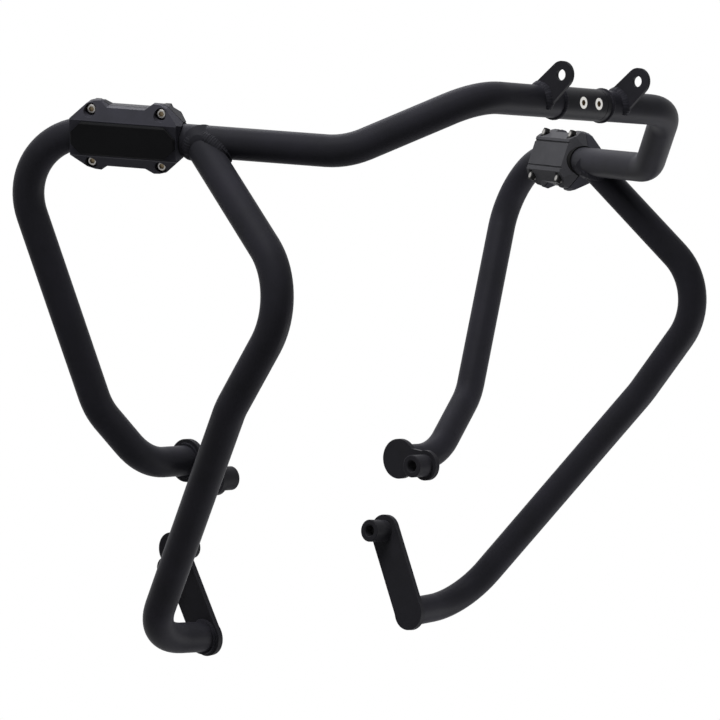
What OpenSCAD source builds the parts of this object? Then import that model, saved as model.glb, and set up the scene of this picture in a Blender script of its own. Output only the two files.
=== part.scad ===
// Motorcycle crash bars: two mirrored tubular halves joined at the front,
// each with a loop tube, a branch tube, two frame brackets and a slider block.
// Millimetres, +Z up, -Y is the front of the motorcycle, X runs across it.
// The modules are drawn with the crossbar axis on y = 0, z = 0 and x = 0 as the
// middle plane. The whole is then placed with the shared axis of the two front
// tab holes on the X axis.

/* [Tubes] */
// outside diameter of every bar tube
tube_d = 25.4; // [24:0.2:26.6]
// wall of the bar tubes
tube_wall = 2; // [1.5:0.1:3]
// centre line radius of every bend
bend_r = 55; // [48:1:56]

/* [Loop tube] */
// half width of the front crossbar, middle plane to first bend corner
cross_half = 125.5; // [124:0.5:127]
// first shoulder corner, sideways
shoulder_x = 199; // [197:0.5:201]
// first shoulder corner, rearwards
shoulder_y = 71.5; // [70:0.5:73]
// first shoulder corner, below the crossbar
shoulder_drop = 43.5; // [42:0.5:45]
// rear corner, sideways
tail_x = 329.5; // [328:0.5:331]
// rear corner, rearwards
tail_y = 319; // [316:0.5:322]
// rear corner, below the crossbar
tail_drop = 20; // [18:0.5:22]
// lower loop corner, sideways
knee_x = 239; // [237:0.5:241]
// lower loop corner, rearwards
knee_y = 303.5; // [302:0.5:305]
// lower loop corner, above the tube lobe of the near upper bracket
knee_rise = 46; // [44:0.5:48]
// last loop corner, sideways, near half
foot_near_x = 192.5; // [191:0.5:194]
// last loop corner, sideways, far half
foot_far_x = 183; // [182:0.5:185]
// last loop corner, rearwards
foot_y = 297; // [295:0.5:299]

/* [Branch tube] */
// weld of the branch on the side bar, from the shoulder corner
branch_at = 119; // [116:1:122]
// branch front corner, sideways
elbow_x = 275.5; // [274:0.5:277]
// branch front corner, rearwards
elbow_y = 57.5; // [55:0.5:60]
// branch front corner, below the crossbar
elbow_drop = 152.5; // [150:0.5:155]
// branch slight corner, sideways
shin_x = 268.5; // [267:0.5:270]
// branch slight corner, rearwards
shin_y = 129; // [127:0.5:131]
// branch slight corner, below the crossbar
shin_drop = 241; // [239:0.5:243]
// branch bottom corner, sideways
heel_x = 202; // [200:0.5:204]
// branch bottom corner, rearwards
heel_y = 283; // [281:0.5:285]
// branch bottom corner, above the tube lobe of the lower bracket
heel_rise = 4; // [2:0.5:6]
// branch end, below the tube lobe of the lower bracket
branch_end_sag = 0.5; // [0:0.5:2]

/* [Front tabs] */
// tab middle plane from the centre of the bar
tab_x = 51; // [49:0.5:53]
// tab thickness
tab_t = 3.2; // [2.6:0.2:5]
// tab rounded end radius
tab_r = 11; // [10:0.5:12]
// tab half width level with the crossbar axis
tab_root = 12.2; // [11.2:0.2:12.6]
// tab hole diameter
tab_hole = 9; // [8:0.2:10]
// tab hole forward of the crossbar axis
tab_fwd = 24; // [23:0.5:26]
// tab hole above the crossbar axis
tab_up = 19.4; // [18:0.2:21]

/* [Centre joint] */
// outside diameter of the socket and of the spigot collar
socket_d = 26.2; // [26:0.2:27]
// socket bore
socket_bore = 19; // [18:0.5:19.5]
// free fit between spigot and socket, on the diameter
spigot_gap = 0.3; // [0.2:0.1:0.6]
// socket weld end, from the middle plane on the near side
socket_near = 28.5; // [27:0.5:30]
// socket open end, from the middle plane on the far side
socket_far = 25; // [24:0.5:26]
// slit left between socket and collar
joint_slit = 0.6; // [0.4:0.1:1]
// collar length
collar_l = 6; // [5:0.5:7]
// near joint screw, from the middle plane
screw_near = 7.6; // [7:0.2:8.6]
// far joint screw, from the middle plane
screw_far = 13; // [12:0.5:14]
// joint screw shank
joint_screw_d = 6; // [5:0.5:6]

/* [Brackets] */
// thickness of the four bracket plates
plate_t = 5; // [4:0.5:6]
// inner face of the upper brackets from the middle plane
upper_x = 135; // [134:0.5:136]
// tube lobe radius of the upper bracket
upper_lobe_r = 18; // [17:0.5:19]
// boss lobe radius of the upper bracket
upper_eye_r = 13.5; // [12.5:0.5:14]
// width of the neck between the two lobes
upper_neck = 24; // [22:1:26]
// tube lobe centre, rearwards
upper_lobe_y = 301; // [299:0.5:303]
// tube lobe centre of the near half, below the crossbar
upper_near_drop = 291.5; // [290:0.5:293]
// how much lower the tube lobe of the far half sits
upper_far_more = 9.5; // [8:0.5:11]
// boss axis of the upper brackets, forward of their tube lobe
upper_eye_ahead = 30.5; // [29:0.5:32]
// boss axis of both upper brackets, below the near tube lobe
upper_eye_below = 14.5; // [13:0.5:16]
// upper boss length
upper_boss_l = 18; // [16:0.5:20]
// inner face of the lower brackets at the tube lobe
lower_x = 129; // [128:0.5:130]
// width of the lower bracket bar
lower_w = 30; // [28:0.5:31]
// lean of the lower bracket, its top stands further out
lower_lean = 4.3; // [3:0.1:5]
// tube lobe centre of the lower bracket, rearwards
lower_lobe_y = 284.5; // [283:0.5:286]
// tube lobe centre of the lower bracket, below the near upper one
lower_lobe_below = 147; // [145:0.5:149]
// boss axis of the lower bracket, rearwards of its tube lobe
lower_eye_back = 33.5; // [32:0.5:35]
// boss axis of the lower bracket, above its tube lobe
lower_eye_rise = 71.5; // [70:0.5:73]
// lower boss length
lower_boss_l = 20; // [18:0.5:22]
// outside diameter of the bosses
boss_d = 20; // [19:0.5:21]
// bore of the bosses
boss_bore = 10; // [8:0.5:11]
// chamfer at the mouth of each bore
boss_chamfer = 1; // [0.5:0.1:1.4]
// outer stub on the near lower bracket, length
stub_l = 15; // [12:1:17]
// outer stub, diameter
stub_d = 19.5; // [18:0.5:20]
// outer stub, distance below the boss axis along the bar
stub_down = 12.5; // [11:0.5:14]

/* [Slider blocks] */
// front end of the block behind the branch axis
block_front = 11; // [11:0.5:14]
// block length along the bar
block_l = 91; // [88:1:92]
// from a block screw's axis to the top of its boss
screw_edge = 7; // [6:0.5:9]
// height of the screw bosses over the edge between them
hump_h = 4.5; // [3:0.5:6]
// turn of the block about the bar, outer face turned down
block_turn = 17; // [14:0.5:20]
// outer shell face from the bar axis
shell_out = 16.5; // [16:0.5:17.5]
// inner edge of the slanted shell facets from the bar axis
facet_in = 4.5; // [3:0.5:6]
// back shell face from the bar axis
back_in = 16; // [15.5:0.5:17]
// slit between the two shells
shell_slit = 0.8; // [0.4:0.1:1.2]
// wear pad length
pad_l = 85; // [82:1:86]
// wear pad height
pad_h = 26; // [24:1:27]
// cut across each corner of the wear pad
pad_corner = 9; // [6:0.5:10]
// wear pad face from the bar axis
pad_out = 19; // [18.5:0.5:20]
// rubber liner thickness between bar and shells
liner_t = 1.3; // [1:0.1:1.8]
// block screw pitch along the bar
screw_pitch_l = 57; // [55:1:59]
// wall left between the bar's space in the block and the block screws
screw_web = 4.5; // [4:0.5:7]
// block screw shank
block_screw_d = 5; // [4:0.5:5]
// block screw head diameter
block_head_d = 8.2; // [7.6:0.2:9]
// block screw head height
block_head_h = 3.8; // [3:0.2:5]
// seat of the block screw heads from the bar axis
head_seat = 2.4; // [2.2:0.2:4]
// block nut across its corners
block_nut_d = 9.2; // [8:0.2:9.4]
// block nut thickness
block_nut_h = 4; // [3:0.5:5]
// seat of the block nuts behind the bar axis
nut_seat = 9.5; // [7:0.5:10]
// pocket round each block nut
nut_pocket_d = 10.4; // [9.8:0.2:10.6]
// pocket round each block screw head, wider than the head by
pocket_gap = 1.6; // [1:0.2:2]

/* [Welds] */
// leg of the weld fillets
weld_leg = 2.6; // [2:0.2:3]
// clearance between the branch weld and the branch tube
weld_gap = 0.2; // [0.1:0.05:0.3]

/* [Hidden] */
$fn = 64;
ro = tube_d / 2;
ri = ro - tube_wall;
// bends are thinner than the straights by this much, and overlap them by the lap
hair = 0.03;
lap = 0.5;

// lobes and boss axes of the brackets, all hung from the near upper lobe
upper_far_drop = upper_near_drop + upper_far_more;
upper_eye_drop = upper_near_drop + upper_eye_below;
upper_eye_y = upper_lobe_y - upper_eye_ahead;
lower_lobe_drop = upper_near_drop + lower_lobe_below;
knee_drop = upper_near_drop - knee_rise;
heel_drop = lower_lobe_drop - heel_rise;
branch_end_drop = lower_lobe_drop + branch_end_sag;

// corners of the bar centre lines, far half
p_cross = [cross_half, 0, 0];
p_shoulder = [shoulder_x, shoulder_y, -shoulder_drop];
p_tail = [tail_x, tail_y, -tail_drop];
p_knee = [knee_x, knee_y, -knee_drop];
p_foot_near = [foot_near_x, foot_y, -upper_near_drop];
p_foot_far = [foot_far_x, foot_y, -upper_far_drop];
side_dir = unit(p_tail - p_shoulder);
p_branch = p_shoulder + side_dir * branch_at;
p_elbow = [elbow_x, elbow_y, -elbow_drop];
p_shin = [shin_x, shin_y, -shin_drop];
p_heel = [heel_x, heel_y, -heel_drop];
p_branch_end = [lower_x - 10, lower_lobe_y + 2, -branch_end_drop];
upper_plane = upper_x + plate_t;
tube_near_end = socket_near;
tube_far_end = socket_far + joint_slit + collar_l;

function unit(v) = v / norm(v);
function turn(a, b, c) = acos(unit(b - a) * unit(c - b));
function reach(a, b, c) = bend_r * tan(turn(a, b, c) / 2);

// puts local z along the line from p to q, local origin at p
module along(p, q) {
    z = unit(q - p);
    x = unit(cross([0.12, 0.34, 0.93], z));
    y = cross(z, x);
    multmatrix([[x[0], y[0], z[0], p[0]],
                [x[1], y[1], z[1], p[1]],
                [x[2], y[2], z[2], p[2]],
                [0, 0, 0, 1]]) children();
}

module ring2d(r_out, r_in) {
    if (r_in > 0) {
        difference() {
            circle(r_out);
            circle(r_in);
        }
    } else {
        circle(r_out);
    }
}

module straight(p, q, r_out, r_in) {
    along(p, q) linear_extrude(norm(q - p)) ring2d(r_out, r_in);
}

// the bend at corner b on the way from a to c, a hair thinner than the straights
// so that its ends are held inside them
module bend(a, b, c, r_out, r_in) {
    th = turn(a, b, c);
    u = unit(b - a);
    w = unit(c - b);
    start = b - u * reach(a, b, c);
    middle = b + unit(w - u) * (bend_r / cos(th / 2));
    x = unit(start - middle);
    z = cross(x, u);
    multmatrix([[x[0], u[0], z[0], middle[0]],
                [x[1], u[1], z[1], middle[1]],
                [x[2], u[2], z[2], middle[2]],
                [0, 0, 0, 1]])
        rotate_extrude(angle = th) translate([bend_r, 0])
            ring2d(r_out - hair, r_in > 0 ? r_in + hair : 0);
}

// a bent bar through the corners in the list
module bar(path, r_out, r_in) {
    last = len(path) - 1;
    for (i = [0:last - 1]) {
        u = unit(path[i + 1] - path[i]);
        from = i == 0 ? path[0] : path[i] + u * reach(path[i - 1], path[i], path[i + 1]);
        to = i == last - 1 ? path[last]
            : path[i + 1] - u * reach(path[i], path[i + 1], path[i + 2]);
        straight(from - u * (i == 0 ? 0 : lap), to + u * (i == last - 1 ? 0 : lap), r_out, r_in);
    }
    for (i = [1:last - 1]) bend(path[i - 1], path[i], path[i + 1], r_out, r_in);
}

module near() { mirror([1, 0, 0]) children(); }

// moves the origin to the middle of the tab hole axis
module placed() { translate([0, tab_fwd, -tab_up]) children(); }

function upper_end(foot) = [upper_plane - 8, upper_lobe_y, foot[2]];

function loop_path(first, foot) =
    [[first, 0, 0], p_cross, p_shoulder, p_tail, p_knee, foot,
     upper_end(foot)];

// everything on the inner side of the upper bracket's outer face
module upper_cut() {
    s = 4 * tube_d;
    translate([upper_plane - s / 2, upper_lobe_y, -upper_far_drop]) cube(s, center = true);
}

module lower_frame() {
    translate([lower_x, lower_lobe_y, -lower_lobe_drop]) rotate([0, lower_lean, 0]) children();
}

// everything on the inner side of the lower bracket's outer face
module lower_cut() {
    s = 4 * tube_d;
    lower_frame() translate([plate_t - s / 2, 0, 0]) cube(s, center = true);
}

module loop_tube(first, foot) {
    color([0.1, 0.1, 0.12]) difference() {
        bar(loop_path(first, foot), ro, ri);
        upper_cut();
    }
}

module branch_tube() {
    color([0.1, 0.1, 0.12]) difference() {
        bar([p_branch, p_elbow, p_shin, p_heel, p_branch_end], ro, ri);
        straight(p_shoulder + side_dir * (branch_at - 50),
                 p_shoulder + side_dir * (branch_at + 50), ro + hair, 0);
        lower_cut();
    }
}

// front tab: a round ended strip from the crossbar up and forward to its hole
tab_reach = norm([tab_fwd, tab_up]);
tab_angle = atan2(tab_up, tab_fwd);

module tab_frame(x) {
    translate([x, 0, 0]) rotate([-tab_angle, 0, 0]) children();
}

// side face of the tab, in the plane across the crossbar
module tab_outline() {
    spread = asin((tab_root - tab_r) / tab_reach);
    hx = tab_reach;
    ex = tab_r * sin(spread);
    ez = tab_r * cos(spread);
    rotate(180 - tab_angle) union() {
        translate([hx, 0]) circle(tab_r);
        polygon([[0, -tab_root], [hx + ex, -ez], [hx + ex, ez], [0, tab_root]]);
    }
}

module front_tab() {
    color([0.13, 0.13, 0.15]) translate([tab_x - tab_t / 2, 0, 0])
        rotate([90, 0, 90]) linear_extrude(tab_t) difference() {
            tab_outline();
            circle(ro + weld_gap);
            translate([-tab_fwd, tab_up]) circle(d = tab_hole);
        }
}

module joint_hole(x, d, y0, y1) {
    translate([x, y1, 0]) rotate([90, 0, 0]) cylinder(h = y1 - y0, d = d);
}

joint_head_d = joint_screw_d * 1.6;
joint_socket_d = joint_screw_d * 0.86;
joint_head_seat = socket_d / 2 - 3.4;
spigot_r = (socket_bore - spigot_gap) / 2;
spigot_l = socket_far + socket_near - 10;

module joint_socket() {
    color([0.14, 0.14, 0.15]) difference() {
        translate([-socket_near, 0, 0]) rotate([0, 90, 0])
            cylinder(h = socket_near + socket_far, d = socket_d);
        translate([-socket_near + 6, 0, 0]) rotate([0, 90, 0])
            cylinder(h = socket_near + socket_far, d = socket_bore);
        for (x = [-screw_near, screw_far]) {
            joint_hole(x, joint_screw_d + 0.4, -20, 0);
            joint_hole(x, joint_head_d + 0.6, -20, -joint_head_seat);
        }
    }
}

module joint_spigot() {
    color([0.16, 0.16, 0.17]) difference() {
        union() {
            translate([socket_far - spigot_l, 0, 0]) rotate([0, 90, 0])
                cylinder(h = spigot_l + joint_slit + collar_l, r = spigot_r);
            translate([socket_far + joint_slit, 0, 0]) rotate([0, 90, 0])
                cylinder(h = collar_l, d = socket_d);
        }
        for (x = [-screw_near, screw_far]) joint_hole(x, joint_screw_d, -20, 20);
        translate([socket_far - spigot_l - 1, 0, 0]) rotate([0, 90, 0])
            cylinder(h = spigot_l + 20, d = 7);
    }
}

module joint_screw(x) {
    difference() {
        union() {
            joint_hole(x, joint_screw_d, -joint_head_seat, 5);
            joint_hole(x, joint_head_d, -joint_head_seat - 3.2, -joint_head_seat);
        }
        translate([x, -joint_head_seat - 1, 0]) rotate([90, 0, 0])
            cylinder(h = 4, d = joint_socket_d, $fn = 6);
    }
}

module joint_screws() {
    color([0.75, 0.74, 0.7]) for (x = [-screw_near, screw_far]) joint_screw(x);
}

module upper_bracket(drop) {
    dy = upper_lobe_y - upper_eye_y;
    dz = upper_eye_drop - drop;
    gap = norm([dy, dz]);
    color([0.13, 0.13, 0.15]) translate([upper_x, upper_eye_y, -upper_eye_drop])
        rotate([90, 0, 90]) linear_extrude(plate_t) difference() {
            union() {
                circle(upper_eye_r);
                translate([dy, dz]) circle(upper_lobe_r);
                rotate(atan2(dz, dy)) translate([0, -upper_neck / 2]) square([gap, upper_neck]);
            }
            circle(d = boss_bore);
        }
}

// lower bracket bar, leaning with the branch end
lower_rise = lower_eye_rise / cos(lower_lean);
lower_len = norm([lower_eye_back, lower_rise]);
lower_slant = atan2(lower_eye_back, lower_rise);

module lower_bracket() {
    color([0.13, 0.13, 0.15]) difference() {
        lower_frame() rotate([-lower_slant, 0, 0]) union() {
            rotate([0, 90, 0]) cylinder(h = plate_t, d = lower_w + 1);
            translate([0, 0, lower_len]) rotate([0, 90, 0]) cylinder(h = plate_t, d = lower_w);
            translate([0, -lower_w / 2, 0]) cube([plate_t, lower_w, lower_len]);
        }
        lower_frame() rotate([-lower_slant, 0, 0]) translate([-1, 0, lower_len])
            rotate([0, 90, 0]) cylinder(h = plate_t + 2, d = boss_bore);
    }
}

// boss pointing inwards from its bracket, x is its seat on the plate
module boss(l) {
    color([0.15, 0.15, 0.16]) rotate([0, -90, 0]) rotate_extrude()
        polygon([[boss_bore / 2, 0], [boss_d / 2, 0], [boss_d / 2, l - 0.6],
                 [boss_d / 2 - 0.6, l], [boss_bore / 2 + boss_chamfer, l],
                 [boss_bore / 2, l - boss_chamfer]]);
}

module upper_boss() {
    translate([upper_x, upper_eye_y, -upper_eye_drop]) boss(upper_boss_l);
}

module lower_boss() {
    lower_frame() rotate([-lower_slant, 0, 0]) translate([0, 0, lower_len]) boss(lower_boss_l);
}

module outer_stub() {
    color([0.13, 0.13, 0.15]) lower_frame() rotate([-lower_slant, 0, 0])
        translate([plate_t, 0, lower_len - boss_bore / 2 - stub_d / 2]) rotate([0, 90, 0])
            cylinder(h = stub_l, d = stub_d);
}

// slider block: local x forward along the bar, y outward, z up
module block_frame() {
    a = -side_dir;
    n = unit(cross(side_dir, [0, 0, 1]));
    h = cross(a, n);
    o = p_shoulder + side_dir * block_at;
    multmatrix([[a[0], n[0], h[0], o[0]],
                [a[1], n[1], h[1], o[1]],
                [a[2], n[2], h[2], o[2]],
                [0, 0, 0, 1]]) rotate([-block_turn, 0, 0]) children();
}

block_at = branch_at + block_front + block_l / 2;
bl = block_l / 2;
sx = screw_pitch_l / 2;
shell_bore_r = ro + liner_t;
sz = shell_bore_r + block_screw_d / 2 + screw_web;
bh = sz + screw_edge;
block_h = 2 * bh;

// side outline of both shells, with a raised boss at each screw
module block_outline() {
    s = hump_h;
    polygon([[-bl, -bh + 15], [-sx - 4, -bh + 2.5], [-sx + 2, -bh + 0.4], [-sx + 7, -bh],
             [-sx + 13, -bh + s], [sx - 13, -bh + s], [sx - 7, -bh], [sx - 2, -bh + 0.4],
             [sx + 4, -bh + 2.5], [bl, -bh + 15],
             [bl, bh - 15], [sx + 4, bh - 2.5], [sx - 2, bh - 0.4], [sx - 7, bh],
             [sx - 13, bh - s], [-sx + 13, bh - s], [-sx + 7, bh], [-sx + 2, bh - 0.4],
             [-sx - 4, bh - 2.5], [-bl, bh - 15]]);
}

// the tube and its liner space, along the bar and into the rear bend
module bar_space(r) {
    bar([p_shoulder + side_dir * (block_at - block_l), p_tail, p_knee], r, 0);
}

module shell_body() {
    intersection() {
        rotate([90, 0, 0]) translate([0, 0, -block_h]) linear_extrude(2 * block_h) block_outline();
        translate([-block_l, 0, 0]) rotate([90, 0, 90]) linear_extrude(2 * block_l)
            polygon([[shell_slit / 2, -bh - 1], [facet_in, -bh],
                     [shell_out - 1.5, -pad_h / 2 - 2], [shell_out, -pad_h / 2 - 1],
                     [shell_out, pad_h / 2 + 1], [shell_out - 0.6, pad_h / 2 + 1.6],
                     [facet_in, bh], [shell_slit / 2, bh + 1]]);
        translate([0, 0, -block_h]) linear_extrude(2 * block_h)
            polygon([[-bl, 0], [-bl, 9], [-pad_l / 2 - 0.8, shell_out],
                     [pad_l / 2 + 0.8, shell_out], [bl, 9], [bl, 0]]);
    }
}

module block_shell() {
    color([0.1, 0.1, 0.11]) difference() {
        block_frame() difference() {
            shell_body();
            for (x = [-sx, sx]) for (z = [-sz, sz]) {
                translate([x, bh, z]) rotate([90, 0, 0])
                    cylinder(h = block_h, d = block_screw_d + 0.4);
                translate([x, head_seat + bh, z]) rotate([90, 0, 0])
                    cylinder(h = bh, d = block_head_d + pocket_gap);
            }
            pad_solid(0.1);
        }
        bar_space(shell_bore_r);
    }
}

module back_body() {
    intersection() {
        rotate([90, 0, 0]) translate([0, 0, -block_h]) linear_extrude(2 * block_h) block_outline();
        translate([-block_l, 0, 0]) rotate([90, 0, 90]) linear_extrude(2 * block_l)
            polygon([[-shell_slit / 2, -bh + 1], [-4, -bh + 1], [-back_in, -15.5],
                     [-back_in, -12.5], [-back_in + 1, -12], [-back_in + 1, -11],
                     [-back_in, -10.5], [-back_in, 11], [-back_in + 1.2, 11.5],
                     [-back_in + 1.2, 12.5], [-back_in, 13], [-back_in, 15.5],
                     [-4, bh - 1], [-shell_slit / 2, bh - 1]]);
        translate([0, 0, -block_h]) linear_extrude(2 * block_h)
            polygon([[-bl, 0], [-bl, -5], [-36, -back_in], [36, -back_in], [bl, -5], [bl, 0]]);
    }
}

module block_back() {
    color([0.2, 0.2, 0.21]) difference() {
        block_frame() difference() {
            back_body();
            for (x = [-sx, sx]) for (z = [-sz, sz]) {
                translate([x, bh, z]) rotate([90, 0, 0])
                    cylinder(h = block_h, d = block_screw_d + 0.4);
                translate([x, -nut_seat, z]) rotate([90, 0, 0])
                    cylinder(h = bh, d = nut_pocket_d);
            }
        }
        bar_space(shell_bore_r);
    }
}

module pad_solid(grow) {
    l = pad_l / 2 + grow;
    h = pad_h / 2 + grow;
    c = pad_corner;
    intersection() {
        rotate([90, 0, 0]) translate([0, 0, -block_h]) linear_extrude(2 * block_h)
            polygon([[-l, -h + c], [-l + c, -h], [l - c, -h], [l, -h + c],
                     [l, h - c], [l - c, h], [-l + c, h], [-l, h - c]]);
        translate([-block_l, 0, 0]) rotate([90, 0, 90]) linear_extrude(2 * block_l)
            polygon([[shell_out - 1, -h], [pad_out - 1.2, -h], [pad_out, -h + 1.2],
                     [pad_out, h - 1.2], [pad_out - 1.2, h], [shell_out - 1, h]]);
        translate([0, 0, -block_h]) linear_extrude(2 * block_h)
            polygon([[-l, 0], [-l, pad_out - 1.2], [-l + 1.2, pad_out],
                     [l - 1.2, pad_out], [l, pad_out - 1.2], [l, 0]]);
    }
}

module block_pad() {
    color([0.05, 0.05, 0.05]) block_frame() pad_solid(0);
}

module block_liner() {
    from = block_at - block_l / 2 + 1;
    to = norm(p_tail - p_shoulder) - reach(p_shoulder, p_tail, p_knee);
    color([0.03, 0.03, 0.03]) straight(p_shoulder + side_dir * from,
        p_shoulder + side_dir * to, shell_bore_r, ro);
}

module block_screw() {
    difference() {
        union() {
            translate([0, head_seat, 0]) rotate([90, 0, 0])
                cylinder(h = head_seat + nut_seat + 4.5, d = block_screw_d);
            translate([0, head_seat, 0]) rotate([-90, 0, 0]) rotate_extrude()
                polygon([[0, 0], [block_head_d / 2, 0],
                         [block_head_d / 2, block_head_h - 1],
                         [block_head_d / 2 - 0.4, block_head_h - 0.4],
                         [block_head_d / 2 - 1, block_head_h], [0, block_head_h]]);
        }
        translate([0, head_seat + block_head_h + 1, 0]) rotate([90, 0, 0])
            cylinder(h = 3.2, d = block_screw_d * 0.92, $fn = 6);
    }
}

module block_screws() {
    color([0.75, 0.75, 0.76]) block_frame() for (x = [-sx, sx]) for (z = [-sz, sz])
        translate([x, 0, z]) block_screw();
}

module block_nuts() {
    color([0.1, 0.1, 0.1]) block_frame() for (x = [-sx, sx]) for (z = [-sz, sz])
        translate([x, -nut_seat, z]) rotate([90, 0, 0]) difference() {
            cylinder(h = block_nut_h, d = block_nut_d, $fn = 6);
            translate([0, 0, -1]) cylinder(h = block_nut_h + 2, d = block_screw_d);
        }
}

module joint_welds() {
    color([0.12, 0.12, 0.13]) {
        translate([-socket_near - weld_leg, 0, 0]) rotate([0, 90, 0]) ring_weld();
        translate([tube_far_end + weld_leg, 0, 0]) rotate([0, -90, 0]) ring_weld();
    }
}

// butt weld lying on the tube and against the larger collar
module ring_weld() {
    rotate_extrude() polygon([[ro, 0], [ro + 1.1, 0.6], [ro + 1.6, weld_leg - 0.6],
                              [ro + 1.4, weld_leg], [ro, weld_leg]]);
}

module tab_weld() {
    leg = weld_leg + 0.6;
    difference() {
        intersection() {
            union() {
                translate([tab_x - tab_t / 2 - leg, 0, 0]) rotate([0, 90, 0])
                    cylinder(h = leg, r1 = ro, r2 = ro + leg);
                translate([tab_x + tab_t / 2, 0, 0]) rotate([0, 90, 0])
                    cylinder(h = leg, r1 = ro + leg, r2 = ro);
            }
            tab_frame(tab_x - 20) translate([0, -30, -tab_r]) cube([40, 30, 2 * tab_r]);
        }
        translate([tab_x - 20, 0, 0]) rotate([0, 90, 0]) cylinder(h = 40, r = ro);
    }
}

module tab_welds() {
    color([0.12, 0.12, 0.13]) {
        tab_weld();
        near() tab_weld();
    }
}

module branch_weld() {
    t = unit(p_elbow - p_branch);
    color([0.12, 0.12, 0.13]) intersection() {
        straight(p_shoulder + side_dir * (branch_at - 2 * tube_d),
                 p_shoulder + side_dir * (branch_at + 2 * tube_d), ro + weld_leg, ro + hair);
        straight(p_branch - t * 3, p_branch + t * 60, ro + weld_leg * 0.75, ro + weld_gap);
    }
}

// fillet round a tube that runs from p towards q, its face at distance l from p
module end_weld(p, q, l) {
    difference() {
        along(p, q) cylinder(h = l + weld_leg, r = ro + weld_leg * 0.7);
        along(p, q) translate([0, 0, -5]) cylinder(h = l + 40, r = ro);
        children();
    }
}

module upper_weld(foot) {
    end_weld(upper_end(foot), foot, 8) upper_cut();
}

module lower_weld() {
    end_weld(p_branch_end, p_heel, 15) lower_cut();
}

module bracket_welds() {
    color([0.12, 0.12, 0.13]) {
        upper_weld(p_foot_far);
        lower_weld();
        near() upper_weld(p_foot_near);
        near() lower_weld();
    }
}

placed() near() loop_tube(tube_near_end, p_foot_near);  // loop_tube_near
placed() loop_tube(tube_far_end, p_foot_far);  // loop_tube_far
placed() near() branch_tube();  // branch_tube_near
placed() branch_tube();  // branch_tube_far
placed() near() front_tab();  // front_tab_near
placed() front_tab();  // front_tab_far
placed() joint_socket();
placed() joint_spigot();
placed() joint_screws();
placed() near() upper_bracket(upper_near_drop);  // upper_bracket_near
placed() upper_bracket(upper_far_drop);  // upper_bracket_far
placed() near() lower_bracket();  // lower_bracket_near
placed() lower_bracket();  // lower_bracket_far
placed() near() upper_boss();  // upper_boss_near
placed() upper_boss();  // upper_boss_far
placed() near() lower_boss();  // lower_boss_near
placed() lower_boss();  // lower_boss_far
placed() near() outer_stub();  // outer_stub_near
placed() near() block_shell();  // block_shell_near
placed() block_shell();  // block_shell_far
placed() near() block_back();  // block_back_near
placed() block_back();  // block_back_far
placed() near() block_pad();  // block_pad_near
placed() block_pad();  // block_pad_far
placed() near() block_liner();  // block_liner_near
placed() block_liner();  // block_liner_far
placed() near() block_screws();  // block_screws_near
placed() block_screws();  // block_screws_far
placed() near() block_nuts();  // block_nuts_near
placed() block_nuts();  // block_nuts_far
placed() joint_welds();
placed() tab_welds();
placed() near() branch_weld();  // branch_weld_near
placed() branch_weld();  // branch_weld_far
placed() bracket_welds();
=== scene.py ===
"""Looks of the motorcycle crash bars: coats, weld beads, screw sockets and the photo's light."""

import math

import bpy
from mathutils import Matrix, Vector


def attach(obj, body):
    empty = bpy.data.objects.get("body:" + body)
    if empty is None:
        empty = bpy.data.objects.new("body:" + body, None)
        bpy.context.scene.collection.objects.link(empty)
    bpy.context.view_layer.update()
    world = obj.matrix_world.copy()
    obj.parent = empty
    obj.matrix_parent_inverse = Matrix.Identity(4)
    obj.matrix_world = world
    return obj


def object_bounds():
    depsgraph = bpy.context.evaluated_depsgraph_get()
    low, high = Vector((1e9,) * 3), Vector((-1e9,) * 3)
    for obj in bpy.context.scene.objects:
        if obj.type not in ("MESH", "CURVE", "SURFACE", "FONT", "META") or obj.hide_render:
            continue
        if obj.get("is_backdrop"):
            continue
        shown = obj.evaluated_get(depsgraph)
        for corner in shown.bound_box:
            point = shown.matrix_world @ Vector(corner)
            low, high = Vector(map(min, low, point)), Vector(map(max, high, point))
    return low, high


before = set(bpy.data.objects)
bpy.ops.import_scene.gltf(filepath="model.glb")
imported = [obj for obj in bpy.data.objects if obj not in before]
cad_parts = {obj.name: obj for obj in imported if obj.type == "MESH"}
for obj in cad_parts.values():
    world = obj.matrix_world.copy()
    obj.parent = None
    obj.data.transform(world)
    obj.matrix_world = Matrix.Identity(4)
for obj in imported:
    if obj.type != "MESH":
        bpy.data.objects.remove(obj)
lo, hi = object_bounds()

# The part's own sizes in metres, the same values as in its source
TAB_FORWARD, TAB_UP = 0.024, 0.0194
TUBE_R = 0.0127


def at(x, y, z):
    """A point measured from the middle of the crossbar's axis, in the placed frame."""
    return Vector((x, y + TAB_FORWARD, z - TAB_UP))


# Middle of the crossbar, corners of the far half's tubes, and places along its side bar
CROSSBAR = at(0, 0, 0)
SHOULDER = at(0.199, 0.0715, -0.0435)
TAIL = at(0.3295, 0.319, -0.02)
ELBOW = at(0.2755, 0.0575, -0.1525)
HEEL = at(0.202, 0.283, -0.4345)
SIDE = (TAIL - SHOULDER).normalized()
BRANCH_ALONG, BLOCK_ALONG = 0.119, 0.1755
BRANCH = SHOULDER + SIDE * BRANCH_ALONG
BLOCK = SHOULDER + SIDE * BLOCK_ALONG
BLOCK_TURN = math.radians(17)

# Outer ends of the joint, and the front tabs' middle plane and thickness
SOCKET_END, SPIGOT_END = -0.0285, 0.0316
TAB_X, TAB_T = 0.051, 0.0032

# Rear brackets: plate, inner faces at the tube lobes, and the lobes' places
PLATE_T = 0.005
UPPER_X, UPPER_LOBE_Y = 0.135, 0.301
UPPER_NEAR_DROP, UPPER_FAR_MORE = 0.2915, 0.0095
LOWER_LOBE, LOWER_LEAN = at(0.129, 0.2845, -0.4385), math.radians(4.3)
BRANCH_END = at(0.119, 0.2865, -0.439)

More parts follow.
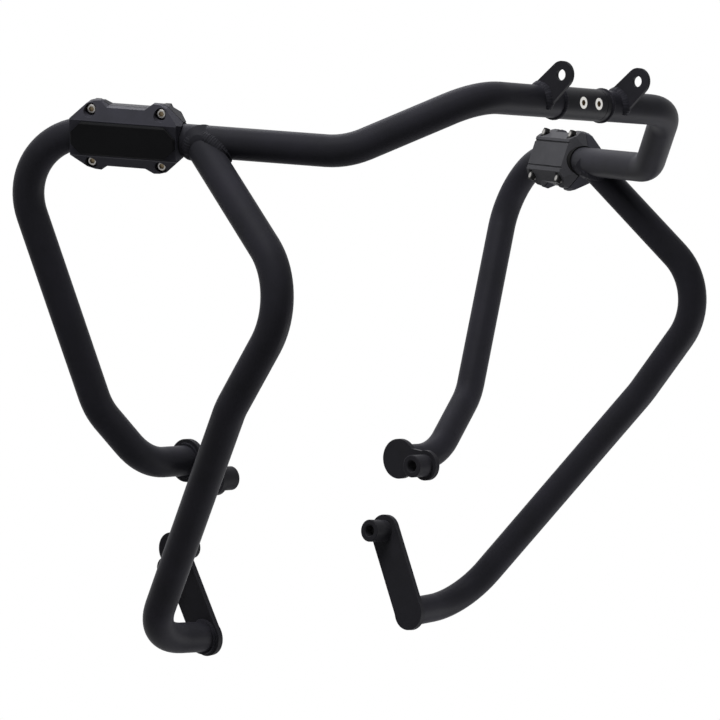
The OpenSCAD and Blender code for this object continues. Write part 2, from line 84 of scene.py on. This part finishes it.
# Screw heads: places, tops and the hexagons in them, whose faces lie between two depths
JOINT_SCREWS, JOINT_HEAD_TOP, JOINT_HEX_R = (-0.0076, 0.013), 0.0129, 0.0027
BLOCK_SCREW_ALONG, BLOCK_SCREW_UP = 0.0285, 0.021
BLOCK_HEAD_TOP, BLOCK_HEX_R = 0.0062, 0.0025
HEX_MOUTH, HEX_DEPTH = 0.0001, 0.0025

# Socket numbers of the Mix and Random Value nodes, whose socket names repeat
MIX_SHARE, MIX_FIRST, MIX_SECOND, MIX_RESULT = 0, 6, 7, 2
RANDOM_LEAST, RANDOM_MOST, RANDOM_RESULT = 2, 3, 1


def mirrored(p):
    """The same point or direction on the other half."""
    return Vector((-p.x, p.y, p.z))


def add(tree, kind, place, **settings):
    """A node at a place, with its settings and socket values by name."""
    node = tree.nodes.new(kind)
    node.location = place
    for key, value in settings.items():
        if hasattr(node, key):
            setattr(node, key, value)
        else:
            node.inputs[key.replace("_", " ")].default_value = value
    return node


def wire(tree, *joins):
    """Links rows of (node, its output, next node, its input)."""
    for node, output, after, socket in joins:
        tree.links.new(node.outputs[output], after.inputs[socket])


def new_tree(name, kind, inputs, outputs):
    """A node group with its sockets and its two end nodes."""
    tree = bpy.data.node_groups.new(name, kind)
    for label, socket_kind, value in inputs:
        socket = tree.interface.new_socket(label, in_out="INPUT", socket_type="NodeSocket" + socket_kind)
        if value is not None:
            socket.default_value = value
    for label, socket_kind in outputs:
        tree.interface.new_socket(label, in_out="OUTPUT", socket_type="NodeSocket" + socket_kind)
    return tree, add(tree, "NodeGroupInput", (-1300, 0)), add(tree, "NodeGroupOutput", (900, 0))


# Coats
def powder_group():
    """Powder coat: a fine orange peel and a faint cloudy sheen, in object metres."""
    tree, given, result = new_tree(
        "powder_coat",
        "ShaderNodeTree",
        [
            ("Color", "Color", (0.03, 0.03, 0.035, 1)),
            ("Sheen Color", "Color", (0.045, 0.042, 0.055, 1)),
            ("Roughness", "Float", 0.42),
            ("Grain Size", "Float", 900.0),
            ("Cloud Size", "Float", 30.0),
        ],
        [("Color", "Color"), ("Roughness", "Float"), ("Height", "Float")],
    )
    place = add(tree, "ShaderNodeTexCoord", (-900, 300))
    grain = add(tree, "ShaderNodeTexNoise", (-650, 100), Detail=2.0, Roughness=0.5)
    cloud = add(tree, "ShaderNodeTexNoise", (-650, 400), Detail=4.0, Roughness=0.6)
    patches = add(tree, "ShaderNodeMapRange", (-400, 400), From_Min=0.35, From_Max=0.7)
    tint = add(tree, "ShaderNodeMix", (-150, 400), data_type="RGBA")
    swing = add(tree, "ShaderNodeMapRange", (-400, 50), To_Min=-0.05, To_Max=0.05)
    rough = add(tree, "ShaderNodeMath", (-150, 100), operation="ADD")
    wire(
        tree,
        (place, "Object", grain, "Vector"),
        (place, "Object", cloud, "Vector"),
        (given, "Grain Size", grain, "Scale"),
        (given, "Cloud Size", cloud, "Scale"),
        (cloud, "Fac", patches, "Value"),
        (patches, "Result", tint, MIX_SHARE),
        (given, "Color", tint, MIX_FIRST),
        (given, "Sheen Color", tint, MIX_SECOND),
        (cloud, "Fac", swing, "Value"),
        (swing, "Result", rough, 0),
        (given, "Roughness", rough, 1),
        (tint, MIX_RESULT, result, "Color"),
        (rough, 0, result, "Roughness"),
        (grain, "Fac", result, "Height"),
    )
    return tree


POWDER = powder_group()


def coat(name, color, sheen, roughness, grain=900, bump=0.12, metallic=0, specular=0.03):
    """A coated, moulded or bare metal surface that uses the shared powder group."""
    material = bpy.data.materials.new(name)
    material.use_nodes = True
    tree = material.node_tree
    surface = tree.nodes["Principled BSDF"]
    surface.inputs["Metallic"].default_value = metallic
    surface.inputs["Specular IOR Level"].default_value = specular
    powder = add(tree, "ShaderNodeGroup", (-500, 100), node_tree=POWDER)
    powder.inputs["Color"].default_value = (*color, 1)
    powder.inputs["Sheen Color"].default_value = (*sheen, 1)
    powder.inputs["Roughness"].default_value = roughness
    powder.inputs["Grain Size"].default_value = grain
    relief = add(tree, "ShaderNodeBump", (-250, -200), Strength=bump, Distance=0.0003)
    wire(
        tree,
        (powder, "Color", surface, "Base Color"),
        (powder, "Roughness", surface, "Roughness"),
        (powder, "Height", relief, "Height"),
        (relief, "Normal", surface, "Normal"),
    )
    return material


bar_coat = coat("bar_powder_coat", (0.038, 0.038, 0.044), (0.046, 0.045, 0.055), 0.42)
bracket_coat = coat("bracket_powder_coat", (0.036, 0.036, 0.04), (0.044, 0.043, 0.05), 0.45)
joint_coat = coat(
    "joint_turned_coat", (0.038, 0.038, 0.042), (0.045, 0.045, 0.051), 0.38, grain=600, bump=0.06
)
weld_coat = coat(
    "weld_powder_coat", (0.038, 0.038, 0.044), (0.046, 0.045, 0.055), 0.42, grain=1200, bump=0.2
)
shell_coat = coat(
    "block_shell_coat", (0.06, 0.06, 0.07), (0.078, 0.077, 0.095), 0.42, grain=1300, bump=0.18
)
back_coat = coat("block_back_coat", (0.08, 0.08, 0.086), (0.1, 0.1, 0.107), 0.45, grain=1300, bump=0.15)
pad_plastic = coat(
    "wear_pad_plastic", (0.02, 0.02, 0.021), (0.024, 0.024, 0.025), 0.62, grain=2200, bump=0.35
)
liner_rubber = coat(
    "liner_rubber", (0.015, 0.015, 0.015), (0.018, 0.018, 0.018), 0.75, grain=1500, bump=0.2
)
nut_black = coat("nut_black_oxide", (0.02, 0.02, 0.02), (0.03, 0.03, 0.03), 0.35, grain=1800, bump=0.05)


def steel(name, color, sheen, roughness, bump):
    """Bare steel, with hardly any relief."""
    return coat(name, color, sheen, roughness, grain=1800, bump=bump, metallic=1, specular=0.5)


screw_steel = steel("stainless_screw", (0.62, 0.61, 0.59), (0.7, 0.69, 0.66), 0.3, 0.03)
# painted shade: a darker copy of the screw steel for the block screws, which sit deep in shaded pockets
block_steel_painted_shade = steel("block_screw_steel_painted_shade", (0.3, 0.29, 0.28), (0.4, 0.39, 0.37), 0.35, 0.05)
# painted shade: a dark brassy steel put on the faces inside the hexagon recesses, where shade falls
hex_painted_shade = steel("hex_socket_painted_shade", (0.19, 0.15, 0.095), (0.28, 0.225, 0.15), 0.45, 0.03)


def pairs(*pieces):
    """The near and far nodes of each piece."""
    return [f"{piece}_{half}" for piece in pieces for half in ("near", "far")]


COATED = {
    bar_coat: pairs("loop_tube", "branch_tube"),
    bracket_coat: pairs("front_tab", "upper_bracket", "lower_bracket", "upper_boss", "lower_boss")
    + ["outer_stub_near"],
    joint_coat: ["joint_socket", "joint_spigot"],
    weld_coat: pairs("branch_weld") + ["joint_welds", "tab_welds", "bracket_welds"],
    shell_coat: pairs("block_shell"),
    back_coat: pairs("block_back"),
    pad_plastic: pairs("block_pad"),
    liner_rubber: pairs("block_liner"),
    screw_steel: ["joint_screws"],
    block_steel_painted_shade: pairs("block_screws"),
    nut_black: pairs("block_nuts"),
}
for material, nodes in COATED.items():
    for node in nodes:
        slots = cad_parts[node].data.materials
        slots.clear()
        slots.append(material)


# Painted shade in the hexagons of the screw heads
def shade_sockets(node, tops, outward, radius):
    """Paints shade into the hexagon recess in each screw head, from the middle of the head's top
    downwards.
    """
    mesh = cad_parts[node].data
    mesh.materials.append(hex_painted_shade)
    for face in mesh.polygons:
        for top in tops:
            reach = face.center - top
            below = -reach.dot(outward)
            if HEX_MOUTH < below < HEX_DEPTH and (reach + outward * below).length < radius:
                face.material_index = 1


def shade_block_sockets():
    """The four screws of each block, which is turned about the side bar."""
    level = SIDE.cross(Vector((0, 0, 1))).normalized()
    raised = (-SIDE).cross(level)
    outward = level * math.cos(BLOCK_TURN) - raised * math.sin(BLOCK_TURN)
    upward = level * math.sin(BLOCK_TURN) + raised * math.cos(BLOCK_TURN)
    tops = [
        BLOCK + SIDE * along + upward * up + outward * BLOCK_HEAD_TOP
        for along in (-BLOCK_SCREW_ALONG, BLOCK_SCREW_ALONG)
        for up in (-BLOCK_SCREW_UP, BLOCK_SCREW_UP)
    ]
    shade_sockets("block_screws_far", tops, outward, BLOCK_HEX_R)
    shade_sockets("block_screws_near", [mirrored(p) for p in tops], mirrored(outward), BLOCK_HEX_R)


joint_tops = [at(x, -JOINT_HEAD_TOP, 0) for x in JOINT_SCREWS]
shade_sockets("joint_screws", joint_tops, Vector((0, -1, 0)), JOINT_HEX_R)
shade_block_sockets()


# Weld ripples
def ripple_tree():
    """Overlapping leaning beads along each path, as a hand weld leaves them."""
    tree, given, result = new_tree(
        "weld_ripples",
        "GeometryNodeTree",
        [
            ("Path", "Geometry", None),
            ("Bead Height", "Float", 0.003),
            ("Bead Width", "Float", 0.005),
            ("Pitch", "Float", 0.0019),
            ("Fullness", "Float", 1.2),
            ("Lean", "Float", 0.45),
            ("Unevenness", "Float", 0.05),
            ("Seed", "Int", 7),
            ("Coat", "Material", None),
        ],
        [("Beads", "Geometry")],
    )
    tree.is_modifier = True
    curve = add(tree, "GeometryNodeMeshToCurve", (-850, 300))
    even = add(tree, "GeometryNodeResampleCurve", (-650, 300), mode="LENGTH")
    ball = add(tree, "GeometryNodeMeshUVSphere", (-650, 50), Segments=14, Rings=7, Radius=1.0)
    wire(
        tree,
        (given, "Path", curve, "Mesh"),
        (curve, "Curve", even, "Curve"),
        (given, "Pitch", even, "Length"),
    )
    # a bead faces along the weld, leans back on the one before, and lies flat on both pieces
    along = add(tree, "GeometryNodeInputTangent", (-1100, -100))
    outward = add(
        tree, "GeometryNodeInputNamedAttribute", (-1100, -250), data_type="FLOAT_VECTOR", Name="outward"
    )
    lean = add(tree, "ShaderNodeVectorMath", (-850, -200), operation="SCALE")
    face = add(tree, "ShaderNodeVectorMath", (-650, -150), operation="ADD")
    turn = add(tree, "FunctionNodeAlignRotationToVector", (-450, -100), axis="Z")
    lie = add(tree, "FunctionNodeAlignRotationToVector", (-250, -150), axis="X", pivot_axis="Z")
    wire(
        tree,
        (outward, "Attribute", lean, 0),
        (given, "Lean", lean, "Scale"),
        (along, "Tangent", face, 0),
        (lean, 0, face, 1),
        (face, 0, turn, "Vector"),
        (turn, "Rotation", lie, "Rotation"),
        (outward, "Attribute", lie, "Vector"),
    )
    # its size varies a little from bead to bead, and follows the path's fill
    half = add(tree, "ShaderNodeMath", (-850, -350), operation="MULTIPLY")
    size = add(tree, "ShaderNodeCombineXYZ", (-650, -350))
    most = add(tree, "ShaderNodeMath", (-850, -500), operation="ADD")
    least = add(tree, "ShaderNodeMath", (-850, -650), operation="SUBTRACT")
    vary = add(tree, "FunctionNodeRandomValue", (-650, -500), data_type="FLOAT")
    fill = add(tree, "GeometryNodeInputNamedAttribute", (-850, -800), data_type="FLOAT", Name="fill")
    share = add(tree, "ShaderNodeMath", (-500, -650), operation="MULTIPLY")
    uneven = add(tree, "ShaderNodeVectorMath", (-400, -400), operation="SCALE")
    most.inputs[0].default_value = 1
    least.inputs[0].default_value = 1
    wire(
        tree,
        (given, "Pitch", half, 0),
        (given, "Fullness", half, 1),
        (given, "Bead Height", size, "X"),
        (given, "Bead Width", size, "Y"),
        (half, 0, size, "Z"),
        (given, "Unevenness", most, 1),
        (given, "Unevenness", least, 1),
        (least, 0, vary, RANDOM_LEAST),
        (most, 0, vary, RANDOM_MOST),
        (given, "Seed", vary, "Seed"),
        (vary, RANDOM_RESULT, share, 0),
        (fill, "Attribute", share, 1),
        (size, 0, uneven, 0),
        (share, 0, uneven, "Scale"),
    )
    put = add(tree, "GeometryNodeInstanceOnPoints", (0, 150))
    real = add(tree, "GeometryNodeRealizeInstances", (200, 150))
    smooth = add(tree, "GeometryNodeSetShadeSmooth", (400, 150))
    dress = add(tree, "GeometryNodeSetMaterial", (650, 150))
    wire(
        tree,
        (even, "Curve", put, "Points"),
        (ball, "Mesh", put, "Instance"),
        (lie, "Rotation", put, "Rotation"),
        (uneven, 0, put, "Scale"),
        (put, "Instances", real, "Geometry"),
        (real, "Geometry", smooth, "Geometry"),
        (smooth, "Geometry", dress, "Geometry"),
        (given, "Coat", dress, "Material"),
        (dress, "Geometry", result, "Beads"),
    )
    return tree


RIPPLES = ripple_tree()
RING_STEPS, ARC_STEPS, SADDLE_STEPS = 48, 18, 72

# How full an open path is at its ends and how fast it fills, and how much a saddle thins out
END_FILL, FILL_STEP = 0.45, 0.18
SADDLE_THINNING, SADDLE_SHARPNESS = 0.5, 6
TAB_SPREAD = 1.2


def around(axis):
    """Two directions across an axis."""
    aside = axis.cross(Vector((0, 0, 1)) if abs(axis.z) < 0.8 else Vector((1, 0, 0))).normalized()
    return aside, axis.cross(aside).normalized()


def ring_path(base, axis, face, normal, gap=0, arc=None, flat=False):
    """(point, outward, fill) where a tube along axis meets the plane through face.

    The path lies off the plane by the gap. On a flat bead outward is straight off the tube. A path
    on an arc, from its first to its last angle, is open and thins out at both ends."""
    aside, crown = around(axis)
    closed = arc is None
    first, last = arc or (0, 2 * math.pi)
    steps = RING_STEPS if closed else ARC_STEPS
    path = []
    for i in range(steps if closed else steps + 1):
        angle = first + (last - first) * i / steps
        radial = aside * math.cos(angle) + crown * math.sin(angle)
        point = base + radial * TUBE_R
        point += axis * ((gap - (point - face).dot(normal)) / axis.dot(normal))
        fill = 1 if closed else min(1, END_FILL + FILL_STEP * min(i, steps - i))
        path.append((point, radial if flat else (radial + normal).normalized(), fill))
    return path, closed


def saddle_path(end, side, branch):
    """(point, outward, fill) where a tube along branch meets an equal tube along side."""
    aside, crown = around(branch)
    path = []
    for i in range(SADDLE_STEPS):
        angle = 2 * math.pi * i / SADDLE_STEPS
        radial = aside * math.cos(angle) + crown * math.sin(angle)
        start = radial * TUBE_R
        # how far this line of the branch runs before it meets the side bar
        off_start, off_branch = start - side * start.dot(side), branch - side * branch.dot(side)
        half, rest = off_start.dot(off_branch), off_start.dot(off_start) - TUBE_R * TUBE_R
        steepness = off_branch.dot(off_branch)
        run = (-half + math.sqrt(max(half * half - steepness * rest, 0))) / steepness
        point = start + branch * run
        off_side = (point - side * point.dot(side)).normalized()
        # the bead thins out where both tubes share a surface
        fill = 1 - SADDLE_THINNING * max(radial.dot(off_side), 0) ** SADDLE_SHARPNESS
        path.append((end + point, (radial + off_side).normalized(), fill))
    return path, True


def both_sides(paths):
    """The paths and their mirror images."""
    images = [
        ([(mirrored(point), mirrored(outward), fill) for point, outward, fill in path], closed)
        for path, closed in paths
    ]
    return paths + images


def ripples(name, paths, height, width, fullness, lean):
    """One piece of weld beads over its paths."""
    verts, outward, fills, edges = [], [], [], []
    for path, closed in paths:
        start = len(verts)
        verts += [tuple(point) for point, out, fill in path]
        outward += [part for point, out, fill in path for part in out]
        fills += [fill for point, out, fill in path]
        edges += [(start + i, start + i + 1) for i in range(len(path) - 1)]
        if closed:
            edges.append((start + len(path) - 1, start))
    line = bpy.data.meshes.new(name)
    line.from_pydata(verts, edges, [])
    line.attributes.new("outward", "FLOAT_VECTOR", "POINT").data.foreach_set("vector", outward)
    line.attributes.new("fill", "FLOAT", "POINT").data.foreach_set("value", fills)
    piece = bpy.data.objects.new(name, line)
    bpy.context.collection.objects.link(piece)
    beads = piece.modifiers.new("ripples", "NODES")
    beads.node_group = RIPPLES
    given = {
        "Bead Height": height,
        "Bead Width": width,
        "Fullness": fullness,
        "Lean": lean,
        "Coat": weld_coat,
    }
    for socket in RIPPLES.interface.items_tree:
        if socket.in_out == "INPUT" and socket.name in given:
            beads[socket.identifier] = given[socket.name]
    evaluated = piece.evaluated_get(bpy.context.evaluated_depsgraph_get())
    mesh = bpy.data.meshes.new_from_object(evaluated)
    piece.modifiers.clear()
    piece.data = mesh
    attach(piece, "root")


ACROSS = Vector((1, 0, 0))


def joint_ripples():
    """Small flat beads round the crossbar at both ends of the joint."""
    faces = ((SOCKET_END, -ACROSS), (SPIGOT_END, ACROSS))
    paths = [
        ring_path(CROSSBAR, ACROSS, at(x, 0, 0), normal, gap=0.0013, flat=True) for x, normal in faces
    ]
    ripples("joint_ripples", paths, height=0.0017, width=0.0021, fullness=1.1, lean=0.3)


def tab_ripples():
    """A bead along each face of both front tabs, on the part of the crossbar under the tab."""
    aside, crown = around(ACROSS)
    tab = Vector((0, -TAB_FORWARD, TAB_UP)).normalized()
    middle = math.atan2(tab.dot(crown), tab.dot(aside))
    arc = (middle - TAB_SPREAD, middle + TAB_SPREAD)
    faces = ((TAB_X + TAB_T / 2, ACROSS), (TAB_X - TAB_T / 2, -ACROSS))
    paths = [ring_path(CROSSBAR, ACROSS, at(x, 0, 0), normal, arc=arc) for x, normal in faces]
    ripples("tab_ripples", both_sides(paths), height=0.003, width=0.005, fullness=1.6, lean=0.3)


def branch_ripples():
    """The saddle bead of each branch tube on its side bar."""
    paths = [saddle_path(BRANCH, SIDE, (ELBOW - BRANCH).normalized())]
    ripples("branch_ripples", both_sides(paths), height=0.0032, width=0.0054, fullness=1.35, lean=0.5)


def bracket_ripples():
    """A bead round each tube end, on the outer face of its rear bracket."""
    outward = Vector((math.cos(LOWER_LEAN), 0, -math.sin(LOWER_LEAN)))
    branch = (HEEL - BRANCH_END).normalized()
    paths = both_sides([ring_path(BRANCH_END, branch, LOWER_LOBE + outward * PLATE_T, outward)])
    for half, drop in ((1, UPPER_NEAR_DROP + UPPER_FAR_MORE), (-1, UPPER_NEAR_DROP)):
        outward = ACROSS * half
        end = at(half * (UPPER_X + PLATE_T), UPPER_LOBE_Y, -drop)
        paths.append(ring_path(end, outward, end, outward))
    ripples("bracket_ripples", paths, height=0.0021, width=0.0034, fullness=1.25, lean=0.4)


joint_ripples()
tab_ripples()
branch_ripples()
bracket_ripples()


# Camera, room and light
def photo_camera():
    """The camera as it stood for the photograph, worked out from the tubes' edges."""
    data = bpy.data.cameras.new("photo_camera")
    data.lens = 155.96
    data.sensor_width = 36
    data.clip_start = 0.05
    data.clip_end = 50
    camera = bpy.data.objects.new("photo_camera", data)
    camera.location = at(-2.0112, -1.5091, -0.153)
    down, round_to_right = math.radians(1.204), math.radians(49.153)
    camera.rotation_euler = (math.pi / 2 - down, 0, -round_to_right)
    bpy.context.collection.objects.link(camera)
    bpy.context.scene.camera = camera


def any_ray(tree, *rays):
    """The output that is 1 for each of the named kinds of ray."""
    path = add(tree, "ShaderNodeLightPath", (-500, 400))
    found = path.outputs[rays[0]]
    for i, ray in enumerate(rays[1:]):
        either = add(tree, "ShaderNodeMath", (-350 + 150 * i, 400), operation="MAXIMUM")
        tree.links.new(found, either.inputs[0])
        tree.links.new(path.outputs[ray], either.inputs[1])
        found = either.outputs[0]
    return found


def white_room():
    """A world that is seen and mirrored as white and gives a faint level light."""
    world = bpy.data.worlds.new("white_room")
    bpy.context.scene.world = world
    world.use_nodes = True
    tree = world.node_tree
    faint = tree.nodes["Background"]
    faint.inputs["Color"].default_value = (0.9, 0.92, 1, 1)
    faint.inputs["Strength"].default_value = 0.02
    seen = add(tree, "ShaderNodeBackground", (0, -200), Color=(1, 1, 1, 1), Strength=1.0)
    choose = add(tree, "ShaderNodeMixShader", (250, 0))
    direct = any_ray(tree, "Is Camera Ray", "Is Glossy Ray", "Is Transmission Ray")
    tree.links.new(direct, choose.inputs[0])
    wire(
        tree,
        (faint, 0, choose, 1),
        (seen, 0, choose, 2),
        (choose, 0, tree.nodes["World Output"], 0),
    )


def studio_floor(middle):
    """A pale disc under the bars, white at its rim so that it meets the white room."""
    radius, height = 3.2, lo.z - 0.8
    bpy.ops.mesh.primitive_circle_add(vertices=96, radius=radius, fill_type="NGON", location=(0, 0, 0))
    floor = bpy.context.object
    floor.name = "studio_floor"
    floor.data.transform(Matrix.Translation((middle.x, middle.y, height)))
    material = bpy.data.materials.new("floor_white")
    material.use_nodes = True
    tree = material.node_tree
    tree.nodes.clear()
    result = add(tree, "ShaderNodeOutputMaterial", (600, 0))
    dull = add(tree, "ShaderNodeBsdfDiffuse", (0, -100), Color=(0.85, 0.85, 0.85, 1))
    glow = add(tree, "ShaderNodeEmission", (0, 150), Strength=1.0)
    place = add(tree, "ShaderNodeTexCoord", (-900, 0))
    reach = add(tree, "ShaderNodeVectorMath", (-700, 0), operation="DISTANCE")
    reach.inputs[1].default_value = (middle.x, middle.y, height)
    fade = add(
        tree, "ShaderNodeMapRange", (-500, 0), From_Min=radius * 0.2, From_Max=radius * 0.95, To_Min=0.6
    )
    white = add(tree, "ShaderNodeMath", (-50, 200), operation="MULTIPLY")
    mix = add(tree, "ShaderNodeMixShader", (300, 0))
    tree.links.new(any_ray(tree, "Is Camera Ray", "Is Glossy Ray"), white.inputs[1])
    wire(
        tree,
        (place, "Object", reach, 0),
        (reach, "Value", fade, "Value"),
        (fade, "Result", white, 0),
        (white, 0, mix, 0),
        (dull, 0, mix, 1),
        (glow, 0, mix, 2),
        (mix, 0, result, 0),
    )
    floor.data.materials.append(material)
    floor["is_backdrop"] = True


def softbox(name, middle, shift, size, power, color=(1, 1, 1)):
    """A square lamp beside the bars, turned to their middle."""
    data = bpy.data.lights.new(name, "AREA")
    data.size = size
    data.energy = power
    data.color = color
    lamp = bpy.data.objects.new(name, data)
    lamp.location = middle + Vector(shift)
    lamp.rotation_euler = (-Vector(shift)).to_track_quat("-Z", "Y").to_euler()
    lamp.visible_camera = False
    bpy.context.collection.objects.link(lamp)


def studio(middle):
    """The white room, the floor, two large lamps above and a small one low on the right."""
    white_room()
    studio_floor(middle)
    softbox("key_softbox", middle, (-0.84, -0.15, 1.47), size=1.1, power=16, color=(0.97, 0.97, 1))
    softbox("rear_softbox", middle, (0.29, 0.8, 1.47), size=1.1, power=12, color=(0.95, 0.95, 1))
    softbox("low_right_softbox", middle, (0.78, -0.45, -0.54), size=0.6, power=4.5)
    bpy.context.scene.view_settings.view_transform = "Standard"


photo_camera()
studio((lo + hi) / 2)

lo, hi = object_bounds()
